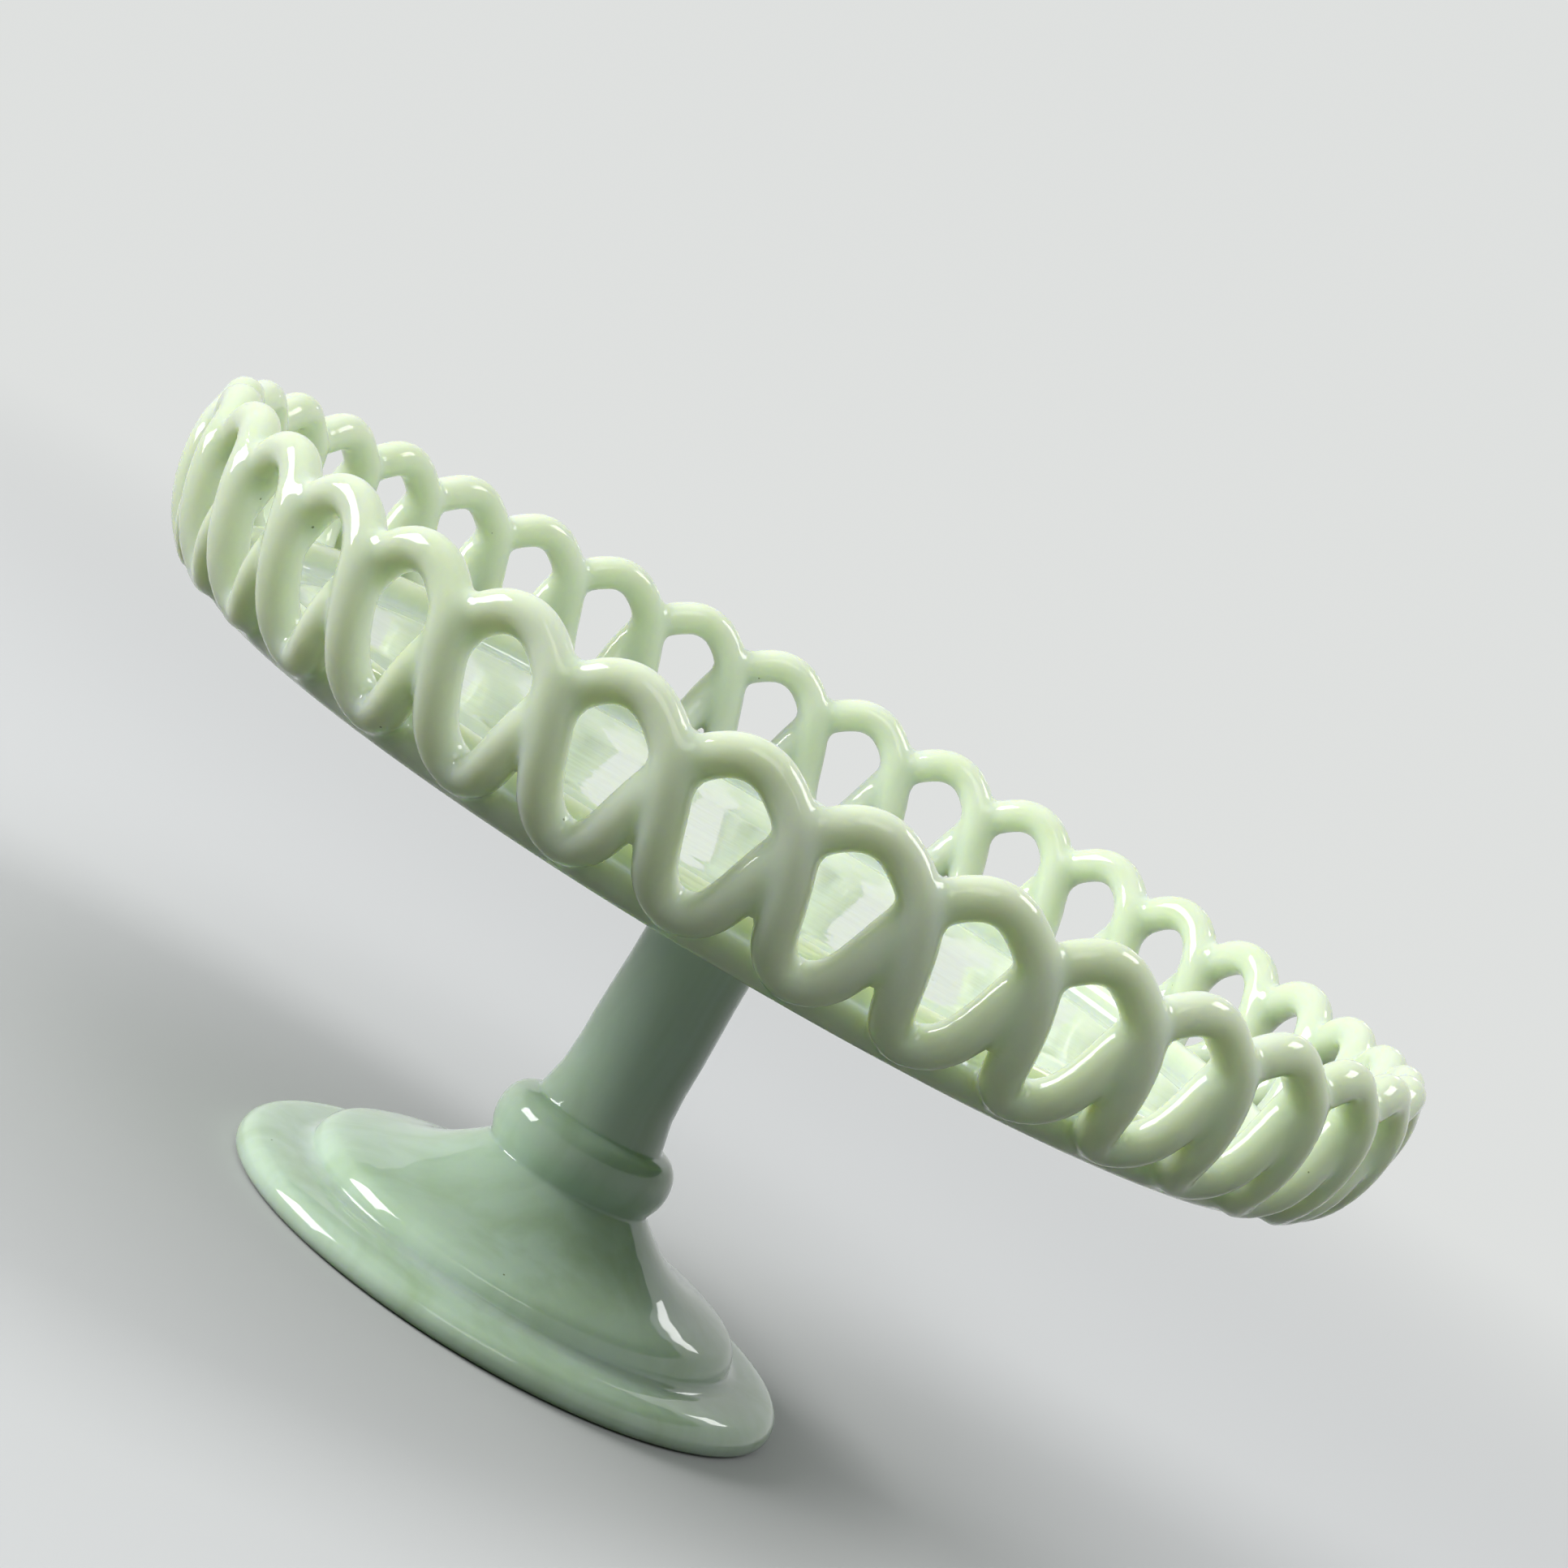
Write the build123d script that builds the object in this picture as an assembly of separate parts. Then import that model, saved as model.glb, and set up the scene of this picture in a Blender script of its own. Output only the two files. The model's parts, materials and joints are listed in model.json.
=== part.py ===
from build123d import *

import math
import os

# Cake stand in pressed milk-green glass: a flat plate with an open lace edge on a
# hollow pedestal.  Millimetres, +Z up, origin on the table under the middle of the foot.
#
# Three pieces, as the object is made: the plate and its lace are one pressing, the foot,
# bead and stem are a second pressing, and a thin bond of clear adhesive joins the two.

# ------------------------------------------------------------- driving dimensions
# pedestal, outside
FOOT_R = 66.0            # widest radius of the foot
FOOT_REST_R = 64.0       # outer edge of the ring the foot stands on
FOOT_RIM_Z = 2.8         # height of the widest point
FLANGE_T = 6.6           # thickness of the flange near its rim
RIM_ROUND = 3.6          # how far in the rounding of the rim reaches
STEP_R = 51.3            # radius of the raised step on the flange
STEP_FOOT_Z = 8.2        # height where the step rises from the flange
STEP_TOP_Z = 14.2        # height of the top of the step
STEP_FILLET = 0.6        # small rounding at the foot of the step
STEP_SIDE_H = 2.0        # upright part of the step
STEP_ROUND = 3.8         # how far in the rounding on top of the step reaches
NECK_R = 19.2            # radius where the cone meets the bead
NECK_Z = 28.4            # height where the cone meets the bead
BEAD_R = 20.9            # widest radius of the bead
BEAD_Z = 34.6            # height of the middle of the bead
BEAD_TOP_Z = 41.6        # height where the stem leaves the bead
STEM_BASE_R = 15.0       # stem radius at the bead
STEM_TOP_R = 10.7        # stem radius under the plate
STEM_FILLET_R = 0.3      # small rounding where the stem leaves the bead
STEM_FILLET_H = 0.8      # height of that rounding

# pedestal, inside
FOOT_CAVITY_R = 59.5     # inner edge of the ring the foot stands on
WALL_T = 5.0             # wall of the flange and the cone
STEM_CAVITY_BASE_R = 9.0  # hollow of the stem at the bead
STEM_CAVITY_TOP_R = 5.2   # hollow of the stem at its closed end
STEM_SOLID_T = 12.0      # solid glass left at the top of the stem

# plate
PLATE_UNDER_Z = 101.4    # underside of the plate
PLATE_T = 5.6            # plate thickness in the well
BAND_R = 131.5           # outside of the plain band
BAND_H = 7.2             # height of the plain band
BAND_CORNER = 3.6        # rounding under the band
BAND_BEVEL = 1.0         # height of the bevel on top of the band
LIP_INSET = 2.3          # how far the low lip above the band is set in from it
LIP_T = 4.2              # thickness of the lip
LIP_H = 6.6              # height of the lip above the well
WELL_COVE = 2.4          # rounding between the lip and the well
RING_INSET = 19.5        # how far inside the band the raised ring on the plate is
RING_W = 2.4             # width of the raised ring
RING_H = 0.5             # height of the raised ring

# lace
LOOPS = 36               # loops round the plate, an even number
STRAND_R = 4.1           # radius of a strand
LACE_FLARE = 9.5         # centre of the strands at the top, out from the band
LACE_H = 34.4            # top of the loops above the well
LOOP_BASE_UP = 1.7       # underside of the loops above the underside of the plate
LOOP_BASE_OUT = 2.4      # centre of the strands at the bottom of a loop, out from the band
WEAVE = 1.3              # how far a strand steps out or in where two cross
LEAN = 0.9               # how far the outer strand leans sideways at a crossing

# joint between the stem and the plate
BOND_GAP = 0.3           # thickness of the adhesive all round
PEG_R = 5.5              # locating peg under the plate
PEG_H = 4.0              # length of the peg below the plate
BOND_MARGIN = 0.5        # the bond stops this far inside the edge of the stem

# ------------------------------------------------------------- sizes that follow
WELL_Z = PLATE_UNDER_Z + PLATE_T
LIP_R = BAND_R - LIP_INSET
LIP_TOP_Z = WELL_Z + LIP_H
RING_R = BAND_R - RING_INSET
LACE_R = BAND_R + LACE_FLARE
LOOP_BASE_R = BAND_R + LOOP_BASE_OUT
LACE_HIGH_Z = WELL_Z + LACE_H - STRAND_R
LACE_LOW_Z = PLATE_UNDER_Z + LOOP_BASE_UP + STRAND_R
LACE_RISE = LACE_HIGH_Z - LACE_LOW_Z
STEM_TOP_Z = PLATE_UNDER_Z - BOND_GAP
SOCKET_R = PEG_R + BOND_GAP
SOCKET_FLOOR_Z = PLATE_UNDER_Z - PEG_H - BOND_GAP
STEM_CAVITY_TOP_Z = STEM_TOP_Z - STEM_SOLID_T
STEP_ROLL = STEP_R - STEP_ROUND
NECK_WALL_T = 1.24 * WALL_T
CONE_WALL_T = 1.12 * WALL_T
STEP_WALL_T = 1.20 * WALL_T
STEP_CAVITY_R = STEP_ROLL - 0.6 * WALL_T
STRAND_SECTIONS = 11     # round sections the strand is drawn through
PITCH_DEG = 360.0 / LOOPS

# The cone between the step and the neck: how far in, and how far up.
CONE_PATH = [
    (0.159, 0.106),
    (0.406, 0.246),
    (0.654, 0.472),
    (0.859, 0.761),
]

# A strand from the top of one loop to the bottom of the next: how far along the pitch,
# how far up the lace, and how far out between the bottom and the top radius.
STRAND_PATH = [
    (0.000, 1.000, 1.00),
    (0.125, 0.983, 1.00),
    (0.240, 0.935, 1.00),
    (0.340, 0.870, 1.00),
    (0.425, 0.790, 1.00),
    (0.500, 0.668, 1.00),
    (0.565, 0.535, 0.97),
    (0.622, 0.400, 0.90),
    (0.675, 0.270, 0.76),
    (0.738, 0.145, 0.52),
    (0.840, 0.045, 0.20),
    (1.000, 0.000, 0.00),
]


def revolve_profile(wire):
    """Turn a closed outline drawn in the XZ plane once round the Z axis."""
    return revolve(make_face(wire), Axis.Z)


def strand_point(along, rise, out, side):
    """One point of a strand; side is +1 on the outer strand and -1 on the inner one."""
    near = math.exp(-(((along - 0.5) / 0.17) ** 2))
    radius = LOOP_BASE_R + (LACE_R - LOOP_BASE_R) * out + side * WEAVE * near
    lean = LEAN * near if side > 0 else 0.0
    angle = math.radians(PITCH_DEG * along) + lean / LACE_R
    if side < 0:
        angle = math.radians(PITCH_DEG * (2.0 - along))
    height = LACE_LOW_Z + LACE_RISE * rise
    return Vector(radius * math.cos(angle), radius * math.sin(angle), height)


def strand():
    """One strand from a loop's top, down under the next loop and up to the one after."""
    down = [strand_point(a, h, o, 1) for a, h, o in STRAND_PATH]
    up = [strand_point(a, h, o, -1) for a, h, o in reversed(STRAND_PATH[:-1])]
    far = math.radians(2.0 * PITCH_DEG)
    start_way = Vector(0, 1, 0)
    end_way = Vector(-math.sin(far), math.cos(far), 0)
    path = Spline(*down, *up, tangents=(start_way, end_way))
    rounds = []
    for i in range(STRAND_SECTIONS):
        middle = path @ (i / (STRAND_SECTIONS - 1))
        way = path % (i / (STRAND_SECTIONS - 1))
        inward = Vector(-middle.X, -middle.Y, 0)
        across = inward - way * inward.dot(way)
        rounds.append(Plane(origin=middle, x_dir=across, z_dir=way) * Circle(STRAND_R))
    return loft(rounds)


def plate_body():
    """The disc of the plate with its band, its low lip and the peg under it."""
    band_top = PLATE_UNDER_Z + BAND_H
    lip_in = LIP_R - LIP_T
    lip_round = LIP_T / 2.0
    mid_lip = LIP_R - lip_round
    under = Line((0, PLATE_UNDER_Z), (BAND_R - BAND_CORNER, PLATE_UNDER_Z))
    corner = RadiusArc(under @ 1, (BAND_R, PLATE_UNDER_Z + BAND_CORNER), -BAND_CORNER)
    side = Line(corner @ 1, (BAND_R, band_top - BAND_BEVEL))
    top = Line(side @ 1, (LIP_R, band_top))
    lip_out = Line(top @ 1, (LIP_R, LIP_TOP_Z - lip_round))
    lip_top = ThreePointArc(lip_out @ 1, (mid_lip, LIP_TOP_Z), (lip_in, LIP_TOP_Z - lip_round))
    lip_inside = Line(lip_top @ 1, (lip_in, WELL_Z + WELL_COVE))
    cove = RadiusArc(lip_inside @ 1, (lip_in - WELL_COVE, WELL_Z), -WELL_COVE)
    well = Line(cove @ 1, (0, WELL_Z))
    axis = Line(well @ 1, under @ 0)
    outline = Curve() + [under, corner, side, top, lip_out, lip_top, lip_inside, cove, well, axis]
    disc = revolve_profile(Plane.XZ * outline)
    ring_low = Pos(0, 0, WELL_Z - 1.0) * Cylinder(
        RING_R + RING_W, 1.0 + RING_H, align=(Align.CENTER, Align.CENTER, Align.MIN))
    ring_hole = Pos(0, 0, WELL_Z - 1.0) * Cylinder(
        RING_R, 1.0 + RING_H, align=(Align.CENTER, Align.CENTER, Align.MIN))
    peg = Pos(0, 0, PLATE_UNDER_Z - PEG_H) * Cylinder(
        PEG_R, PEG_H + 1.0, align=(Align.CENTER, Align.CENTER, Align.MIN))
    return disc + (ring_low - ring_hole) + peg


def make_plate():
    """Plate and lace edge, one pressing."""
    one = strand()
    strands = [Rot(0, 0, PITCH_DEG * k) * one for k in range(LOOPS)]
    return plate_body() + strands


def cone_point(inward, rise):
    """A point on the cone's outline from its share of the way in and of the way up."""
    radius = STEP_ROLL + (NECK_R - STEP_ROLL) * inward
    return (radius, STEP_TOP_Z + (NECK_Z - STEP_TOP_Z) * rise)


def make_pedestal():
    """Foot, bead and stem, one hollow pressing open at the bottom."""
    cone = [cone_point(inward, rise) for inward, rise in CONE_PATH]
    rest = Line((FOOT_CAVITY_R, 0), (FOOT_REST_R, 0))
    rim = Spline(
        rest @ 1,
        (FOOT_R, FOOT_RIM_Z),
        (FOOT_R - RIM_ROUND, FLANGE_T),
        tangents=((1, 0.25), (-1, 0.35)))
    flange = Line(rim @ 1, (STEP_R + STEP_FILLET, STEP_FOOT_Z))
    step = Spline(
        flange @ 1,
        (STEP_R, STEP_FOOT_Z + STEP_SIDE_H),
        (STEP_ROLL, STEP_TOP_Z),
        *cone,
        (NECK_R, NECK_Z),
        tangents=((-0.3, 1), (-0.75, 0.72)))
    bead = Spline(
        step @ 1,
        (BEAD_R, BEAD_Z),
        (STEM_BASE_R + STEM_FILLET_R, BEAD_TOP_Z),
        tangents=((0.5, 1), (-1, 0.15)))
    root = Line(bead @ 1, (STEM_BASE_R, BEAD_TOP_Z + STEM_FILLET_H))
    stem = Line(root @ 1, (STEM_TOP_R, STEM_TOP_Z))
    top = Line(stem @ 1, (SOCKET_R, STEM_TOP_Z))
    socket = Line(top @ 1, (SOCKET_R, SOCKET_FLOOR_Z))
    floor = Line(socket @ 1, (0, SOCKET_FLOOR_Z))
    core = Line(floor @ 1, (0, STEM_CAVITY_TOP_Z))
    hollow_end = Line(core @ 1, (STEM_CAVITY_TOP_R, STEM_CAVITY_TOP_Z))
    hollow = Line(hollow_end @ 1, (STEM_CAVITY_BASE_R, BEAD_Z))
    inner = Spline(
        hollow @ 1,
        (NECK_R - NECK_WALL_T, NECK_Z - WALL_T),
        (cone[2][0], cone[2][1] - CONE_WALL_T),
        (STEP_CAVITY_R, STEP_TOP_Z - STEP_WALL_T),
        (FOOT_CAVITY_R, 0),
        tangents=((0.1, -1), (0.25, -1)))
    outline = Curve() + [rest, rim, flange, step, bead, root, stem, top, socket, floor,
                         core, hollow_end, hollow, inner]
    return revolve_profile(Plane.XZ * outline)


def make_bond():
    """Adhesive between the stem and the plate, filling the gap round the peg."""
    flat = Line((PEG_R, PLATE_UNDER_Z), (STEM_TOP_R - BOND_MARGIN, PLATE_UNDER_Z))
    edge = Line(flat @ 1, (STEM_TOP_R - BOND_MARGIN, STEM_TOP_Z))
    under = Line(edge @ 1, (SOCKET_R, STEM_TOP_Z))
    wall = Line(under @ 1, (SOCKET_R, SOCKET_FLOOR_Z))
    floor = Line(wall @ 1, (0, SOCKET_FLOOR_Z))
    axis = Line(floor @ 1, (0, PLATE_UNDER_Z - PEG_H))
    end = Line(axis @ 1, (PEG_R, PLATE_UNDER_Z - PEG_H))
    side = Line(end @ 1, flat @ 0)
    outline = Curve() + [flat, edge, under, wall, floor, axis, end, side]
    return revolve_profile(Plane.XZ * outline)


os.makedirs("parts", exist_ok=True)

pieces = {
    "PLATE": make_plate(),
    "PEDESTAL": make_pedestal(),
    "BOND": make_bond(),
}
for name, piece in pieces.items():
    piece.label = name
    export_step(piece, f"parts/{name}.step")
    size = piece.bounding_box().size
    print(f"{name}: {size.X:.1f} x {size.Y:.1f} x {size.Z:.1f} mm, solids {len(piece.solids())}")
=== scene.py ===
# %% [markdown]
# # A lace-edge cake stand in milk-green glass
#
# The stand is two pressings of opaque green glass: a flat plate whose edge is an open
# lace of woven loops, and a hollow pedestal with a bead and a stepped round foot. The
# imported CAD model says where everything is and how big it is. This script gives it the
# look: soft webs where strands meet, fire-polished curves and a glass that glows.

# %% Load the frame
import json
import math

import bpy
import numpy as np
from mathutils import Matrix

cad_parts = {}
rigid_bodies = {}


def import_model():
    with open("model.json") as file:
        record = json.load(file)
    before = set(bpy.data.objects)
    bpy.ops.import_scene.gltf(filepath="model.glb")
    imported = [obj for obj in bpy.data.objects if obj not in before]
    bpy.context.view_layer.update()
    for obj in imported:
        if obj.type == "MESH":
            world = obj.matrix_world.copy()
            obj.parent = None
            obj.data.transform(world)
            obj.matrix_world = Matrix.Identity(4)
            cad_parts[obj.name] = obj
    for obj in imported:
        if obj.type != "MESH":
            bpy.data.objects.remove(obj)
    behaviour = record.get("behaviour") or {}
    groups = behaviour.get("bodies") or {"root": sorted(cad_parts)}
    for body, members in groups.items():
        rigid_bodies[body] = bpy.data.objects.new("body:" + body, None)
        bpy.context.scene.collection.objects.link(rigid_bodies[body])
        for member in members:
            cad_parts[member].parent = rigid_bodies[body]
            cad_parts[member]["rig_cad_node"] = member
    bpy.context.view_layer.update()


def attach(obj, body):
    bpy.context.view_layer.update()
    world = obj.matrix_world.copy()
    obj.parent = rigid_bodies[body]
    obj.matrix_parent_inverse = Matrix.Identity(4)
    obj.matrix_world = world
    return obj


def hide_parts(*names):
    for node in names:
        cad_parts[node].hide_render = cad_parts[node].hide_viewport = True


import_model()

MM = 0.001

# %% [markdown]
# ## Putting numpy arrays into a mesh
#
# Every new piece is worked out as whole arrays of points and faces. One helper turns
# them into a smooth-shaded Blender object that sits at the origin, unturned and
# unscaled, and rides on the stand's only body.


# %% A mesh from arrays
def glass_piece(name, points_mm, quads, triangles, material):
    """Object from an (n, 3) array in millimetres and (m, 4) and (k, 3) index arrays."""
    mesh = bpy.data.meshes.new(name)
    loops = np.concatenate([quads.ravel(), triangles.ravel()]).astype(np.int32)
    sizes = np.concatenate([np.full(len(quads), 4), np.full(len(triangles), 3)])
    starts = np.concatenate([[0], np.cumsum(sizes)[:-1]]).astype(np.int32)
    mesh.vertices.add(len(points_mm))
    mesh.vertices.foreach_set("co", (points_mm * MM).astype(np.float32).ravel())
    mesh.loops.add(len(loops))
    mesh.loops.foreach_set("vertex_index", loops)
    mesh.polygons.add(len(sizes))
    mesh.polygons.foreach_set("loop_start", starts)
    mesh.polygons.foreach_set("use_smooth", np.ones(len(sizes), bool))
    mesh.update(calc_edges=True)
    mesh.validate()
    mesh.materials.append(material)
    piece = bpy.data.objects.new(name, mesh)
    bpy.context.scene.collection.objects.link(piece)
    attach(piece, "root")
    print(name, "points", len(points_mm), "triangles", 2 * len(quads) + len(triangles))
    return piece


# %% [markdown]
# ## Milk-green glass
#
# Opaque pressed glass is milky all the way through. Light goes a few millimetres in and
# comes out again, so thin places and hollows glow yellow-green while faces that look at
# the sky stay mint. Subsurface scattering does this: red and green travel further than
# blue. On top are slow streaks from the melt, small seeds (bubbles and specks), and a
# fire-polished skin that is glossy but never quite flat. The two pressings come from two
# pots of glass: the foot's is a cooler, deeper green, and the plate's is creamier and
# lets light further in.


# %% Shader helpers
def add_node(tree, kind, at, **values):
    """A shader node of that kind at a place in the editor, with its settings and inputs."""
    node = tree.nodes.new(kind)
    node.location = at
    for key, value in values.items():
        if key in node.inputs:
            node.inputs[key].default_value = value
        else:
            setattr(node, key, value)
    return node


def new_material(name):
    """An empty node material with its Principled shader already joined to the output."""
    material = bpy.data.materials.new(name)
    material.use_nodes = True
    return material, material.node_tree, material.node_tree.nodes["Principled BSDF"]


def blend(tree, at, factor, off, on):
    """A colour that goes from off, a colour or another node's output, to on with the factor."""
    mix = add_node(tree, "ShaderNodeMix", at, data_type="RGBA")
    mix.inputs["B"].default_value = on
    if isinstance(off, bpy.types.NodeSocket):
        tree.links.new(off, mix.inputs["A"])
    else:
        mix.inputs["A"].default_value = off
    tree.links.new(factor, mix.inputs["Factor"])
    return mix.outputs["Result"]


def spread(tree, at, value, start, end, low=0.0, high=1.0, curve="LINEAR"):
    """A value taken from the range start to end onto the range low to high, and held there."""
    node = add_node(tree, "ShaderNodeMapRange", at, interpolation_type=curve)
    for key, number in {"From Min": start, "From Max": end, "To Min": low, "To Max": high}.items():
        node.inputs[key].default_value = number
    tree.links.new(value, node.inputs["Value"])
    return node.outputs["Result"]


# %% The glass
FOOT_MINT = (0.61, 0.775, 0.62, 1.0)
FOOT_STREAK = (0.51, 0.672, 0.465, 1.0)
LACE_CREAM = (0.685, 0.775, 0.635, 1.0)
LACE_STREAK = (0.64, 0.745, 0.555, 1.0)
SEED_DARK = (0.22, 0.27, 0.13, 1.0)

# how far red, green and blue get against each other, and how deep that is in metres
FOOT_REACH, FOOT_DEPTH = (1.0, 1.0, 0.6), 0.0045
LACE_REACH, LACE_DEPTH = (1.1, 1.0, 0.35), 0.0075

# the share of cells with no seed, and where in a cell a seed begins and ends to fade
SEEDLESS = 0.90
SEED_FULL, SEED_GONE = 0.035, 0.055


def make_milk_glass(name, body_colour, streak_colour, reach, depth):
    """Subsurface glass with streaks (stretched noise), seeds (sparse dots) and a soft ripple."""
    material, tree, skin = new_material(name)
    place = add_node(tree, "ShaderNodeTexCoord", (-1500, 0)).outputs["Object"]

    stretch = add_node(tree, "ShaderNodeMapping", (-1300, 300))
    stretch.inputs["Scale"].default_value = (1.0, 1.0, 0.25)
    tree.links.new(place, stretch.inputs["Vector"])
    streaks = add_node(
        tree, "ShaderNodeTexNoise", (-1100, 300), Scale=42.0, Detail=4.0, Distortion=1.6)
    tree.links.new(stretch.outputs["Vector"], streaks.inputs["Vector"])
    streak_amount = spread(tree, (-900, 300), streaks.outputs["Fac"], 0.40, 0.72)
    body = blend(tree, (-650, 300), streak_amount, body_colour, streak_colour)

    seeds = add_node(tree, "ShaderNodeTexVoronoi", (-1100, -50), Scale=170.0)
    tree.links.new(place, seeds.inputs["Vector"])
    chosen = add_node(tree, "ShaderNodeSeparateColor", (-900, -150))
    tree.links.new(seeds.outputs["Color"], chosen.inputs["Color"])
    few = add_node(tree, "ShaderNodeMath", (-700, -150), operation="GREATER_THAN")
    few.inputs[1].default_value = SEEDLESS
    tree.links.new(chosen.outputs["Red"], few.inputs[0])
    dot = spread(
        tree, (-900, 0), seeds.outputs["Distance"], SEED_FULL, SEED_GONE, low=1.0, high=0.0)
    seed_mask = add_node(tree, "ShaderNodeMath", (-500, -50), operation="MULTIPLY")
    tree.links.new(dot, seed_mask.inputs[0])
    tree.links.new(few.outputs["Value"], seed_mask.inputs[1])
    seeded = blend(tree, (-350, 200), seed_mask.outputs["Value"], body, SEED_DARK)
    tree.links.new(seeded, skin.inputs["Base Color"])

    ripple = add_node(tree, "ShaderNodeTexNoise", (-900, -420), Scale=70.0, Detail=2.0)
    tree.links.new(place, ripple.inputs["Vector"])
    ripple_bump = add_node(tree, "ShaderNodeBump", (-400, -420), Strength=0.35, Distance=0.00035)
    tree.links.new(ripple.outputs["Fac"], ripple_bump.inputs["Height"])
    seed_bump = add_node(tree, "ShaderNodeBump", (-200, -300), Strength=0.6, Distance=0.0002)
    tree.links.new(seed_mask.outputs["Value"], seed_bump.inputs["Height"])
    tree.links.new(ripple_bump.outputs["Normal"], seed_bump.inputs["Normal"])
    tree.links.new(seed_bump.outputs["Normal"], skin.inputs["Normal"])

    haze = add_node(tree, "ShaderNodeTexNoise", (-900, -650), Scale=260.0, Detail=3.0)
    tree.links.new(place, haze.inputs["Vector"])
    gloss = spread(tree, (-650, -650), haze.outputs["Fac"], 0.0, 1.0, low=0.015, high=0.05)
    tree.links.new(gloss, skin.inputs["Roughness"])

    skin.inputs["IOR"].default_value = 1.52
    skin.inputs["Subsurface Weight"].default_value = 1.0
    skin.inputs["Subsurface Radius"].default_value = reach
    skin.inputs["Subsurface Scale"].default_value = depth
    return material


foot_glass = make_milk_glass("foot_glass", FOOT_MINT, FOOT_STREAK, FOOT_REACH, FOOT_DEPTH)
lace_glass = make_milk_glass("lace_glass", LACE_CREAM, LACE_STREAK, LACE_REACH, LACE_DEPTH)
print("glass nodes:", len(foot_glass.node_tree.nodes), len(lace_glass.node_tree.nodes))

# %% [markdown]
# ## The run of a strand
#
# The lace is two strands that wave up and down round the plate, half a wave apart, so
# that one makes a loop's top where the other makes a loop's bottom. A strand is written
# as a short list of places, from the top of a loop to the bottom of the next, and its
# mirror takes it up again. Where two strands cross, the one on its way down steps out
# and leans a little, and the one on its way up steps in. That is the weave.

# %% Sizes of the lace, in millimetres
LOOPS = 36
PITCH = 2.0 * math.pi / LOOPS
STRAND_R = 4.1
LACE_R = 141.0
LACE_HIGH = 141.4 - STRAND_R
LACE_LOW = 103.1 + STRAND_R
LOOP_BASE_R = 133.9
WEAVE = 1.3
LEAN = 0.9

# how far along the pitch, how far up the lace, how far out from the bottom radius
STRAND_PATH = np.array([
    (0.000, 1.000, 1.00), (0.125, 0.983, 1.00), (0.240, 0.935, 1.00), (0.340, 0.870, 1.00),
    (0.425, 0.790, 1.00), (0.500, 0.668, 1.00), (0.565, 0.535, 0.97), (0.622, 0.400, 0.90),
    (0.675, 0.270, 0.76), (0.738, 0.145, 0.52), (0.840, 0.045, 0.20), (1.000, 0.000, 0.00),
])


# %% The centre line of a strand
def smooth_through(points, per_step):
    """Curve through points: on each step a cubic whose slopes are half the neighbours' chord."""
    before, start, end, after = points[:-3], points[1:-2], points[2:-1], points[3:]
    t = (np.arange(per_step) / per_step)[None, :, None]
    slope_a, slope_b = (end - before) / 2.0, (after - start) / 2.0
    a, b = start[:, None], end[:, None]
    curve = (a * (2 * t**3 - 3 * t**2 + 1) + slope_a[:, None] * (t**3 - 2 * t**2 + t)
             + b * (3 * t**2 - 2 * t**3) + slope_b[:, None] * (t**3 - t**2))
    return curve.reshape(-1, points.shape[1])


def strand_line(per_step=7):
    """Centre line over two pitches and a bit each side, as points in space."""
    along, rise, out = STRAND_PATH.T
    near = np.exp(-(((along - 0.5) / 0.17) ** 2))
    radius = LOOP_BASE_R + (LACE_R - LOOP_BASE_R) * out
    height = LACE_LOW + (LACE_HIGH - LACE_LOW) * rise
    down = np.stack([PITCH * along + LEAN * near / LACE_R, radius + WEAVE * near, height], 1)
    up = np.stack([PITCH * (2.0 - along), radius - WEAVE * near, height], 1)[::-1]
    wave = np.concatenate([down, up[1:-1]])
    turns = [wave + (2.0 * PITCH * k, 0.0, 0.0) for k in (-1, 0, 1)]
    angle, radius, height = smooth_through(np.concatenate(turns), per_step).T
    return np.stack([radius * np.cos(angle), radius * np.sin(angle), height], 1)


centre_line = strand_line()
print("centre line points:", len(centre_line))

# %% [markdown]
# ## The plate's outline
#
# Cut the plate through its middle and look at the cut: a flat underside, a rounded band,
# a low lip that the loops rise from, and the well inside it. Distance to this outline,
# negative inside, is what lets the strands melt into the band.

# %% Sizes and outline of the plate, in millimetres
UNDER_Z = 101.4
WELL_Z = 107.0
BAND_R = 131.5
BAND_TOP = UNDER_Z + 7.2
BAND_CORNER = 3.6
BAND_TOP_ROUND = 1.6
OUTLINE_END_R = 90.0
LIP_R, LIP_IN, LIP_TOP = 129.2, 125.0, 113.6
COVE = 2.4


def arc(centre_r, centre_z, size, start, end, steps=10):
    """Points on a circle from one angle to another, in degrees, anticlockwise positive."""
    angle = np.radians(np.linspace(start, end, steps))
    return np.stack([centre_r + size * np.cos(angle), centre_z + size * np.sin(angle)], 1)


lip_round = (LIP_R - LIP_IN) / 2.0
edge_outline = np.concatenate([
    [(OUTLINE_END_R, UNDER_Z)],
    arc(BAND_R - BAND_CORNER, UNDER_Z + BAND_CORNER, BAND_CORNER, -90, 0),
    arc(BAND_R - BAND_TOP_ROUND, BAND_TOP - BAND_TOP_ROUND, BAND_TOP_ROUND, 0, 90, 5),
    arc(LIP_R - lip_round, LIP_TOP - lip_round, lip_round, 0, 180),
    arc(LIP_IN - COVE, WELL_Z + COVE, COVE, 0, -90),
    [(OUTLINE_END_R, WELL_Z)],
])


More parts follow.
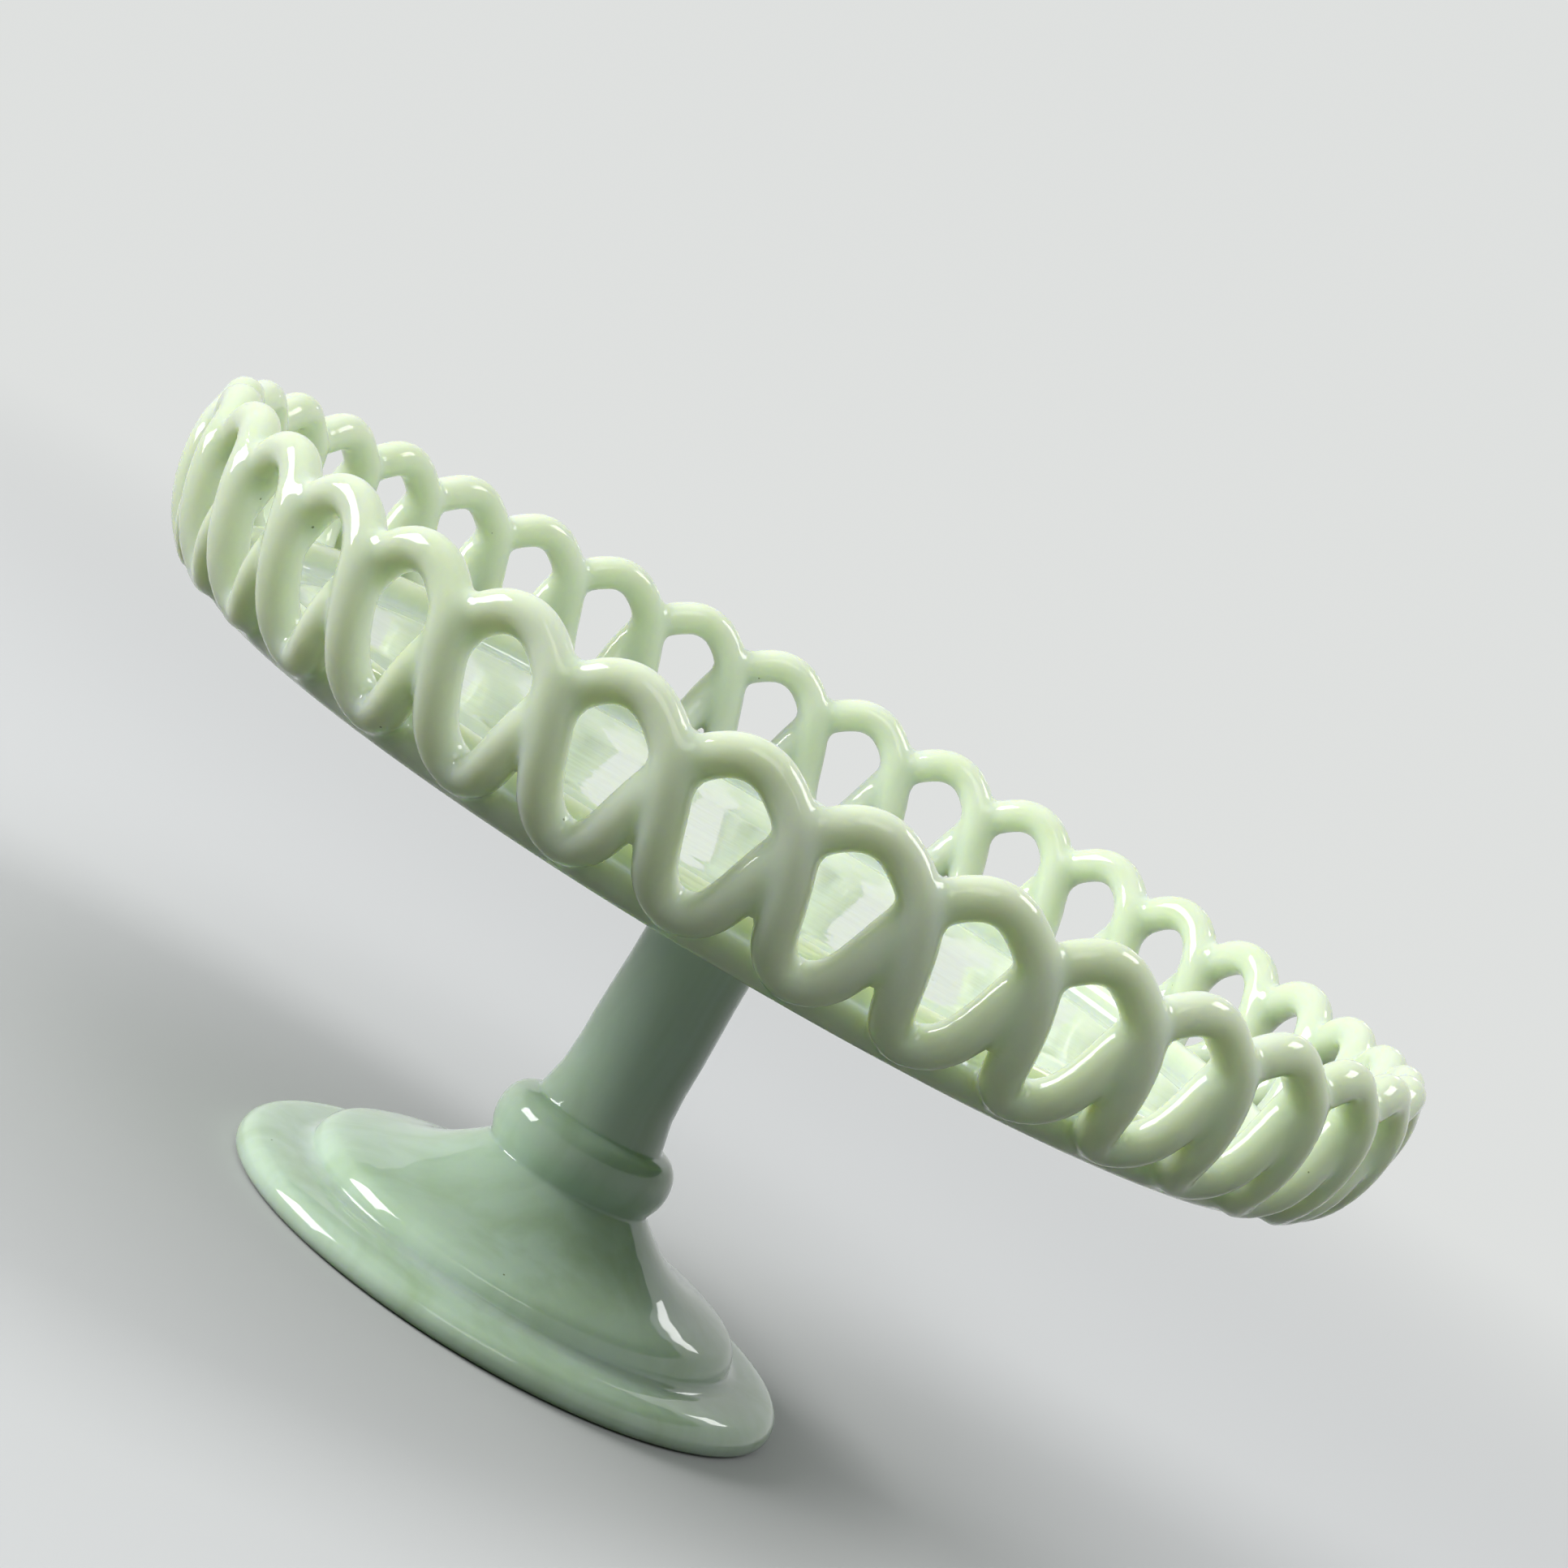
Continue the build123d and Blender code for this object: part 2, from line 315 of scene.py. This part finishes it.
# %% Distance to the plate and to a strand
def outline_distance(r, z, outline):
    """Least distance to the outline's sides, made negative where the point is inside."""
    a = outline
    b = np.roll(outline, -1, axis=0)
    p = np.stack([r, z], -1)[:, None]
    side = b - a
    t = np.clip(((p - a) * side).sum(-1) / (side**2).sum(-1), 0.0, 1.0)
    gap = np.sqrt((((a + t[..., None] * side) - p) ** 2).sum(-1)).min(1)
    above = (a[:, 1] > p[..., 1]) != (b[:, 1] > p[..., 1])
    rise = np.where(side[:, 1] == 0, 1e-9, side[:, 1])
    crossing = a[:, 0] + side[:, 0] * (p[..., 1] - a[:, 1]) / rise
    inside = (above & (p[..., 0] < crossing)).sum(1) % 2 == 1
    return np.where(inside, -gap, gap)


def strand_distance(points, line, at_once=24):
    """Distance from each point to the nearest stretch of the line, less the strand's radius."""
    a, side = line[:-1], np.diff(line, axis=0)
    length2 = (side**2).sum(1)
    least = np.full(len(points), 1e9)
    for first in range(0, len(a), at_once):
        part = slice(first, first + at_once)
        away = points[:, None] - a[part]
        t = np.clip((away * side[part]).sum(-1) / length2[part], 0.0, 1.0)
        gap2 = ((away - t[..., None] * side[part]) ** 2).sum(-1).min(1)
        least = np.minimum(least, gap2)
    return np.sqrt(least) - STRAND_R


def melt(a, b, reach):
    """The smaller of two distances, eased into each other over the reach."""
    ease = np.maximum(reach - np.abs(a - b), 0.0) / reach
    return np.minimum(a, b) - ease**2 * reach * 0.25


def turned(points, angle):
    """Points turned round the stand's axis."""
    c, s = math.cos(angle), math.sin(angle)
    return points @ np.array([[c, s, 0.0], [-s, c, 0.0], [0.0, 0.0, 1.0]])


STRAND_WEB = 2.4
BAND_WEB = 3.0


def glass_distance(points):
    """Distance to the glass of one pitch: two strands melted together, then into the plate."""
    even = strand_distance(points, centre_line)
    odd = strand_distance(turned(points, PITCH), centre_line)
    lace = melt(even, odd, STRAND_WEB)
    plate = outline_distance(np.hypot(points[:, 0], points[:, 1]), points[:, 2], edge_outline)
    return melt(lace, plate, BAND_WEB)


# %% [markdown]
# ## Skinning the lace
#
# The glass of the edge isn't a tube or a sheet, it is where the melted distance is zero.
# A grid of one pitch is filled with that distance. Every grid cell that the surface goes
# through gets one point, and every grid edge that it crosses gets one four-sided face
# between the cells round it (this is called a surface net). The points are then slid
# onto the exact surface, and the pitch is repeated round the plate with no seam.

# %% Distance on a grid of one pitch
GRID_TURN = 20
GRID_STEP = 1.2
turn_axis = PITCH * np.arange(GRID_TURN + 1) / GRID_TURN
r_axis = np.concatenate([[116.0, 118.0, 120.0, 122.0], np.arange(123.3, 149.5, GRID_STEP)])
z_axis = np.arange(98.6, 144.0, GRID_STEP)


def cylinder_points(turn, r, z):
    """Points in space from angle, radius and height."""
    return np.stack([r * np.cos(turn), r * np.sin(turn), z], -1)


grid = np.meshgrid(turn_axis[:-1], r_axis, z_axis, indexing="ij")
field = glass_distance(cylinder_points(*grid).reshape(-1, 3)).reshape(grid[0].shape)
field = np.concatenate([field, field[:1]])
print("grid of one pitch:", field.shape)


# %% One point in each crossed cell
def cell_points(field):
    """Mean of the places where the surface crosses a cell's twelve edges, in grid steps."""
    shape = np.array(field.shape) - 1
    total = np.zeros((*shape, 3))
    count = np.zeros(shape)
    corners = [(0, 0), (0, 1), (1, 0), (1, 1)]
    for axis in range(3):
        others = [k for k in range(3) if k != axis]
        for u, v in corners:
            low = [slice(None)] * 3
            low[axis] = slice(0, shape[axis])
            low[others[0]] = slice(u, shape[others[0]] + u)
            low[others[1]] = slice(v, shape[others[1]] + v)
            high = list(low)
            high[axis] = slice(1, shape[axis] + 1)
            a, b = field[tuple(low)], field[tuple(high)]
            crossed = (a < 0) != (b < 0)
            share = np.where(crossed, a / np.where(crossed, a - b, 1.0), 0.0)
            place = np.zeros((*shape, 3))
            place[..., axis] = share
            place[..., others[0]] = u
            place[..., others[1]] = v
            total += place * crossed[..., None]
            count += crossed
    used = count > 0
    corner = np.stack(np.nonzero(used), 1)
    return corner + total[used] / count[used][:, None], used


grid_places, used_cells = cell_points(field)
cell_number = np.full(used_cells.shape, -1)
cell_number[used_cells] = np.arange(len(grid_places))
sector_points = cylinder_points(
    np.interp(grid_places[:, 0], np.arange(len(turn_axis)), turn_axis),
    np.interp(grid_places[:, 1], np.arange(len(r_axis)), r_axis),
    np.interp(grid_places[:, 2], np.arange(len(z_axis)), z_axis))


# %% Slide the points onto the surface
def settle(points, rounds=3, step=0.02, least_steep=0.2, most=0.5):
    """Move each point down the distance's slope by the distance it still has."""
    for _ in range(rounds):
        here = glass_distance(points)
        slope = np.stack([
            glass_distance(points + side) - glass_distance(points - side)
            for side in step * np.eye(3)], 1) / (2.0 * step)
        steep = np.maximum((slope**2).sum(1), least_steep)
        points = points - slope * np.clip(here / steep, -most, most)[:, None]
    return points


sector_points = settle(sector_points)
print("points in one pitch:", len(sector_points))


# %% Faces round every crossed edge, all the way round the plate
def net_faces(field, number, sectors):
    """Four cells round each crossed grid edge; those before the first turn are the last's."""
    per = int(number.max()) + 1
    turn_cells = number.shape[0]
    faces = []
    for axis in range(3):
        a = field[:-1]
        crossed = (a < 0) != (np.roll(a, -1, axis=axis) < 0)
        if axis:
            cut = [slice(None)] * 3
            cut[axis] = slice(-1, None)
            crossed[tuple(cut)] = False
        i, j, k = np.nonzero(crossed)
        falls = a[i, j, k] < 0
        others = [n for n in range(3) if n != axis]
        base = np.stack([i, j, k], 1)
        ring = []
        for du, dv in ((0, 0), (-1, 0), (-1, -1), (0, -1)):
            cell = base.copy()
            cell[:, others[0]] += du
            cell[:, others[1]] += dv
            ring.append(cell)
        ring = np.stack(ring, 1)
        inner = ((ring[..., 1:] >= 0) & (ring[..., 1:] < np.array(number.shape[1:]))).all((1, 2))
        ring, falls = ring[inner], falls[inner]
        back = ring[..., 0] < 0
        turn_cell = np.where(back, turn_cells - 1, ring[..., 0])
        ids = number[turn_cell, ring[..., 1], ring[..., 2]]
        flip = ~falls if axis != 1 else falls
        ids = np.where(flip[:, None], ids, ids[:, ::-1])
        back = np.where(flip[:, None], back, back[:, ::-1])
        sector = (np.arange(sectors)[:, None, None] - back[None]) % sectors
        faces.append((ids[None] + per * sector).reshape(-1, 4))
    return np.concatenate(faces)


lace_faces = net_faces(field, cell_number, LOOPS)
lace_points = np.concatenate([turned(sector_points, PITCH * n) for n in range(LOOPS)])
print("lace faces:", len(lace_faces))

# %% [markdown]
# ## The flat of the plate
#
# The net stops in the flat of the plate, 116 mm from the middle. Its inner rims, one on
# the well and one underneath, are carried on inwards as rings of the same count that
# follow an outline, and a last point closes each. One low ring stands on the well, and
# underneath, the last rings go down round the peg that sits in the stem's socket.


# %% Rings that carry a rim inwards
def rim_of(number, z_index, sectors):
    """Point numbers of the innermost cells at one level, in order round the plate."""
    per = int(number.max()) + 1
    row = number[:, 0, z_index]
    return (row[None] + per * np.arange(sectors)[:, None]).ravel()


def between(first, second):
    """Four-sided faces from one ring of point numbers to the next, or from rows to rows."""
    return np.stack([first, np.roll(first, -1, -1), np.roll(second, -1, -1), second], -1)


def fan_to(ring, centre):
    """Triangles from a ring of point numbers to one point."""
    return np.stack([ring, np.roll(ring, -1), np.full(len(ring), centre)], 1)


def carry_inwards(points, rim, outline, first_number, facing_up):
    """Rings at the outline's radii and heights on the rim's angles, joined up, and a middle."""
    turn = np.arctan2(points[rim, 1], points[rim, 0])
    level = np.ones(len(turn))
    rings = [cylinder_points(turn, level * r, level * z) for r, z in outline[:-1]]
    middle = np.array([[0.0, 0.0, outline[-1][1]]])
    count = len(rim)
    numbers = [rim] + [first_number + count * n + np.arange(count) for n in range(len(rings))]
    quads = np.concatenate([between(*pair) for pair in zip(numbers[:-1], numbers[1:])])
    fan = fan_to(numbers[-1], first_number + count * len(rings))
    if not facing_up:
        quads, fan = quads[:, ::-1], fan[:, ::-1]
    return np.concatenate(rings + [middle]), quads, fan


def pressed_ring(radius, width=2.4, rise=0.5):
    """Outline of one low rounded ring standing on the well, from its outer foot inwards."""
    share = np.linspace(0.0, 1.0, 5)
    return [(radius + width * (1 - s), WELL_Z + rise * math.sin(math.pi * s) ** 0.7)
            for s in share]


top_row = int(np.searchsorted(z_axis, WELL_Z) - 1)
under_row = int(np.searchsorted(z_axis, UNDER_Z) - 1)
top_rim = rim_of(cell_number, top_row, LOOPS)
under_rim = rim_of(cell_number, under_row, LOOPS)
print("rim points:", len(top_rim), "all used:", bool(min(top_rim.min(), under_rim.min()) >= 0))

RING_R = 112.0
HALFWAY_R = 60.0
PEG_R, PEG_END_Z = 5.5, 97.4
well_outline = pressed_ring(RING_R) + [(HALFWAY_R, WELL_Z), (0.0, WELL_Z)]
under_outline = [
    (HALFWAY_R, UNDER_Z), (PEG_R + 1.5, UNDER_Z), (PEG_R, UNDER_Z - 0.1),
    (PEG_R, PEG_END_Z + 0.4), (PEG_R - 0.4, PEG_END_Z + 0.05), (0.0, PEG_END_Z),
]
well_points, well_quads, well_fan = carry_inwards(
    lace_points, top_rim, well_outline, len(lace_points), True)
under_points, under_quads, under_fan = carry_inwards(
    lace_points, under_rim, under_outline, len(lace_points) + len(well_points), False)

plate_with_lace = glass_piece(
    "plate_with_lace",
    np.concatenate([lace_points, well_points, under_points]),
    np.concatenate([lace_faces, well_quads, under_quads]),
    np.concatenate([well_fan, under_fan]),
    lace_glass)
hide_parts("PLATE")

# %% [markdown]
# ## The pedestal
#
# Foot, bead and stem are one outline turned round the axis, outside and inside. The
# outline is a list of places with rounded corners between them: each corner is swapped
# for a short curve, because fire polishing leaves no sharp edge on glass.

# %% Outline of the pedestal, in millimetres
outside = np.array([
    (61.6, 0.0), (64.2, 0.15), (65.6, 1.1), (65.95, 2.8), (65.4, 4.7), (64.0, 6.1),
    (61.8, 6.9), (56.5, 7.6), (52.6, 8.1), (51.5, 8.9), (51.25, 10.2), (50.6, 12.0),
    (49.2, 13.5), (47.0, 14.5), (43.0, 15.7), (36.0, 17.7), (29.0, 20.9), (23.2, 25.0),
    (20.2, 27.5), (19.3, 28.5), (19.5, 29.4), (20.4, 31.6), (20.85, 34.0), (20.75, 36.4),
    (20.0, 38.8), (18.5, 40.6), (16.4, 41.5), (15.3, 41.9), (14.9, 43.0), (13.0, 69.0),
    (10.75, 100.0), (10.45, 100.9), (9.8, 101.08),
])
SOCKET_R, SOCKET_TOP_Z, SOCKET_FLOOR_Z = 5.8, 101.05, 97.1
HOLLOW_TOP_Z = 89.1
hollow = np.array([
    (4.4, 89.0), (5.2, 88.0), (9.0, 34.6), (10.6, 27.5), (13.0, 23.4), (20.0, 18.8),
    (29.0, 15.3), (44.5, 9.2), (54.0, 5.6), (58.2, 2.6), (59.5, 0.25), (60.2, 0.0),
])


# %% Turn an outline round the axis
AROUND = 192


def rounded(outline, per_step=4):
    """Cubic on every step; at a corner it heads along a mix of both sides, mostly the shorter."""
    step = np.diff(outline, axis=0)
    length = np.hypot(step[:, 0], step[:, 1])[:, None]
    way = step / length
    heading = np.concatenate([way[:1], way[:-1] * length[1:] + way[1:] * length[:-1], way[-1:]])
    heading /= np.hypot(heading[:, 0], heading[:, 1])[:, None]
    t = (np.arange(per_step) / per_step)[None, :, None]
    a, b = outline[:-1, None], outline[1:, None]
    leave, arrive = (heading[:-1] * length)[:, None], (heading[1:] * length)[:, None]
    curve = (a * (2 * t**3 - 3 * t**2 + 1) + leave * (t**3 - 2 * t**2 + t)
             + b * (3 * t**2 - 2 * t**3) + arrive * (t**3 - t**2))
    return np.concatenate([curve.reshape(-1, 2), outline[-1:]])


def turned_shell(outline):
    """Points, faces and point numbers, ring by ring, of the outline turned once."""
    turn = 2.0 * math.pi * np.arange(AROUND) / AROUND
    points = cylinder_points(turn[None], outline[:, :1], np.repeat(outline[:, 1:], AROUND, 1))
    number = np.arange(len(outline) * AROUND).reshape(len(outline), AROUND)
    quads = between(number[:-1], number[1:]).reshape(-1, 4)
    return points.reshape(-1, 3), quads, number


socket = [(SOCKET_R, SOCKET_TOP_Z), (SOCKET_R, SOCKET_FLOOR_Z)]
skin_points, skin_quads, skin_rings = turned_shell(np.concatenate([rounded(outside), socket]))
floor_point = np.array([[0.0, 0.0, SOCKET_FLOOR_Z]])
floor_number = len(skin_points)

hollow_outline = rounded(hollow)
hollow_outline[:, 1] = np.maximum(hollow_outline[:, 1], 0.0)
inner_points, inner_quads, inner_rings = turned_shell(hollow_outline)
inner_quads, inner_rings = inner_quads + floor_number + 1, inner_rings + floor_number + 1
crown_point = np.array([[0.0, 0.0, HOLLOW_TOP_Z]])
crown_number = floor_number + 1 + len(inner_points)

# %% The pedestal in one piece
resting_ring = between(inner_rings[-1], skin_rings[0])
floor_fan = fan_to(skin_rings[-1], floor_number)
crown_fan = fan_to(inner_rings[0], crown_number)[:, [1, 0, 2]]
pedestal = glass_piece(
    "pedestal",
    np.concatenate([skin_points, floor_point, inner_points, crown_point]),
    np.concatenate([skin_quads, inner_quads, resting_ring]),
    np.concatenate([floor_fan, crown_fan]),
    foot_glass)
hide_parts("PEDESTAL")

# %% [markdown]
# ## The bond
#
# A film of clear adhesive fills the gap round the peg. It is hidden once the stand is
# together, so the CAD solid stays as it is and only gets its finish: clear, with a few
# tiny trapped bubbles.


# %% Clear adhesive
def make_adhesive():
    """Clear resin with bubble bumps."""
    material, tree, skin = new_material("clear_adhesive")
    place = add_node(tree, "ShaderNodeTexCoord", (-900, 0)).outputs["Object"]
    bubbles = add_node(tree, "ShaderNodeTexVoronoi", (-700, 0), Scale=900.0)
    tree.links.new(place, bubbles.inputs["Vector"])
    bump = add_node(tree, "ShaderNodeBump", (-400, -100), Strength=0.4, Distance=0.0001)
    tree.links.new(bubbles.outputs["Distance"], bump.inputs["Height"])
    tree.links.new(bump.outputs["Normal"], skin.inputs["Normal"])
    skin.inputs["Base Color"].default_value = (0.82, 0.86, 0.80, 1.0)
    skin.inputs["Roughness"].default_value = 0.12
    skin.inputs["Transmission Weight"].default_value = 0.8
    skin.inputs["IOR"].default_value = 1.48
    return material


bond = next(o for o in bpy.context.scene.objects if o.get("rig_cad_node") == "BOND")
bond.data.materials.clear()
bond.data.materials.append(make_adhesive())
print("bond keeps its CAD mesh:", bond.name)

# %% [markdown]
# ## Table, light and camera
#
# The stand is on a plain pale sweep: a floor that curves up far away on every side, so
# no horizon shows. Close to the stand the floor is lit and takes its shadow. Further out
# it eases into a plain pale backdrop, which Light Path shows to the camera and in
# reflections only, so that the backdrop doesn't wash out the shade on the glass.

# %% Rays that should find the pale backdrop
BACKDROP = (0.735, 0.75, 0.74, 1.0)
TABLE = (0.60, 0.61, 0.605, 1.0)

# what the other rays, those that light the stand, find on the floor near it and far off
TABLE_BOUNCE = (0.10, 0.11, 0.10, 1.0)
FAR_BOUNCE = (0.04, 0.045, 0.04, 1.0)
TABLE_END, BACKDROP_START = 0.30, 1.3


def seen_directly(tree, at):
    """1 for camera, glossy and transmission rays, else 0: the largest of the three answers."""
    path = add_node(tree, "ShaderNodeLightPath", at)
    either = add_node(tree, "ShaderNodeMath", (at[0] + 200, at[1]), operation="MAXIMUM")
    any_of = add_node(tree, "ShaderNodeMath", (at[0] + 400, at[1]), operation="MAXIMUM")
    tree.links.new(path.outputs["Is Camera Ray"], either.inputs[0])
    tree.links.new(path.outputs["Is Glossy Ray"], either.inputs[1])
    tree.links.new(either.outputs["Value"], any_of.inputs[0])
    tree.links.new(path.outputs["Is Transmission Ray"], any_of.inputs[1])
    return any_of.outputs["Value"]


# %% The floor
def make_table_finish():
    """Lit matt near the stand, easing into a plain backdrop with distance from the middle."""
    material, tree, skin = new_material("pale_table")
    seen = seen_directly(tree, (-1100, 300))
    near_colour = blend(tree, (-450, 300), seen, TABLE_BOUNCE, TABLE)
    tree.links.new(near_colour, skin.inputs["Base Color"])
    skin.inputs["Specular IOR Level"].default_value = 0.0
    glow = add_node(tree, "ShaderNodeEmission", (-200, -250))
    far_colour = blend(tree, (-450, -250), seen, FAR_BOUNCE, BACKDROP)
    tree.links.new(far_colour, glow.inputs["Color"])
    place = add_node(tree, "ShaderNodeTexCoord", (-1100, 0)).outputs["Object"]
    reach = add_node(tree, "ShaderNodeVectorMath", (-900, 0), operation="LENGTH")
    tree.links.new(place, reach.inputs[0])
    far = spread(tree, (-700, 0), reach.outputs["Value"], TABLE_END, BACKDROP_START,
                 curve="SMOOTHSTEP")
    mixed = add_node(tree, "ShaderNodeMixShader", (100, 0))
    tree.links.new(far, mixed.inputs["Fac"])
    tree.links.new(skin.outputs["BSDF"], mixed.inputs[1])
    tree.links.new(glow.outputs["Emission"], mixed.inputs[2])
    tree.links.new(mixed.outputs["Shader"], tree.nodes["Material Output"].inputs["Surface"])
    return material


FLAT_R, SWEEP_R, FLOOR_AROUND = 3.0, 2.5, 96


def make_floor():
    """Flat disc, then a quarter circle upwards, turned round the stand, in metres."""
    bend = np.linspace(0, math.pi / 2, 16)
    run = np.concatenate([[0.02, 0.3, 1.0, 2.0], FLAT_R + SWEEP_R * np.sin(bend)])[:, None]
    rise = np.concatenate([np.zeros(4), SWEEP_R - SWEEP_R * np.cos(bend)])[:, None]
    turn = 2.0 * math.pi * np.arange(FLOOR_AROUND) / FLOOR_AROUND
    points = cylinder_points(turn, run, np.repeat(rise, FLOOR_AROUND, 1)).reshape(-1, 3)
    number = np.arange(len(points)).reshape(-1, FLOOR_AROUND)
    quads = between(number[1:], number[:-1]).reshape(-1, 4)
    fan = fan_to(number[0], len(points))
    mesh = bpy.data.meshes.new("floor")
    mesh.from_pydata([*points.tolist(), (0, 0, 0)], [], quads.tolist() + fan.tolist())
    mesh.polygons.foreach_set("use_smooth", np.ones(len(mesh.polygons), bool))
    mesh.materials.append(make_table_finish())
    floor = bpy.data.objects.new("floor", mesh)
    bpy.context.scene.collection.objects.link(floor)
    return floor


make_floor()

# %% [markdown]
# Three windows make the small crisp reflections. The low one on the left reaches under
# the plate and models the pedestal. The high one on the right is hidden from the
# pedestal by the plate and only lights the lace. A small one behind draws a thin line
# on the rims that turn away. A broad dim panel in front softens the near side of the
# lace. The rest comes from a sky that is brighter overhead than near the horizon.


# %% Lamps
HEART = (0.0, 0.0, 0.09)


def window(name, turn, climb, away, width, height, strength):
    """A rectangular lamp seen from the stand at that angle round, angle up and distance."""
    turn, climb = math.radians(turn), math.radians(climb)
    level = math.cos(climb)
    way = np.array([level * math.cos(turn), level * math.sin(turn), math.sin(climb)])
    data = bpy.data.lights.new(name, "AREA")
    data.shape = "RECTANGLE"
    data.size, data.size_y = width, height
    data.energy = strength * math.pi * width * height
    lamp = bpy.data.objects.new(name, data)
    lamp.location = np.array(HEART) + away * way
    lamp.rotation_euler = (math.pi / 2 - climb, 0.0, turn + math.pi / 2)
    lamp.visible_camera = False
    bpy.context.scene.collection.objects.link(lamp)


window("low_left_window", 178, 23, 1.6, 0.74, 0.80, 12.4)
window("high_right_window", 8, 57, 1.6, 0.62, 0.55, 6.5)
window("small_back_window", 66, 25, 1.6, 0.16, 0.10, 3.0)
window("soft_front_panel", -98, 48, 1.9, 1.1, 0.8, 1.9)

# %% Sky
SKY_LOW = (0.05, 0.05, 0.05, 1.0)
SKY_HIGH = (0.63, 0.64, 0.66, 1.0)

world = bpy.data.worlds.new("pale_sky")
bpy.context.scene.world = world
world.use_nodes = True
sky = world.node_tree
direction = add_node(sky, "ShaderNodeTexCoord", (-1300, 0)).outputs["Generated"]
upness = add_node(sky, "ShaderNodeSeparateXYZ", (-1100, 0))
sky.links.new(direction, upness.inputs["Vector"])
overhead = spread(sky, (-900, 0), upness.outputs["Z"], 0.20, 0.60, curve="SMOOTHSTEP")
sky_light = blend(sky, (-700, 0), overhead, SKY_LOW, SKY_HIGH)
shown = blend(sky, (-200, 0), seen_directly(sky, (-900, 300)), sky_light, BACKDROP)
sky.links.new(shown, sky.nodes["Background"].inputs["Color"])

# %% The camera
camera_data = bpy.data.cameras.new("camera")
camera_data.lens = 78.27
camera_data.sensor_width = 36.0
camera_data.clip_start, camera_data.clip_end = 0.01, 50.0
camera = bpy.data.objects.new("camera", camera_data)
camera.location = (-0.08498, -0.71519, 0.18702)
camera.rotation_euler = tuple(math.radians(a) for a in (84.185, -30.680, -3.559))
bpy.context.scene.collection.objects.link(camera)
bpy.context.scene.camera = camera
bpy.context.scene.view_settings.view_transform = "Standard"
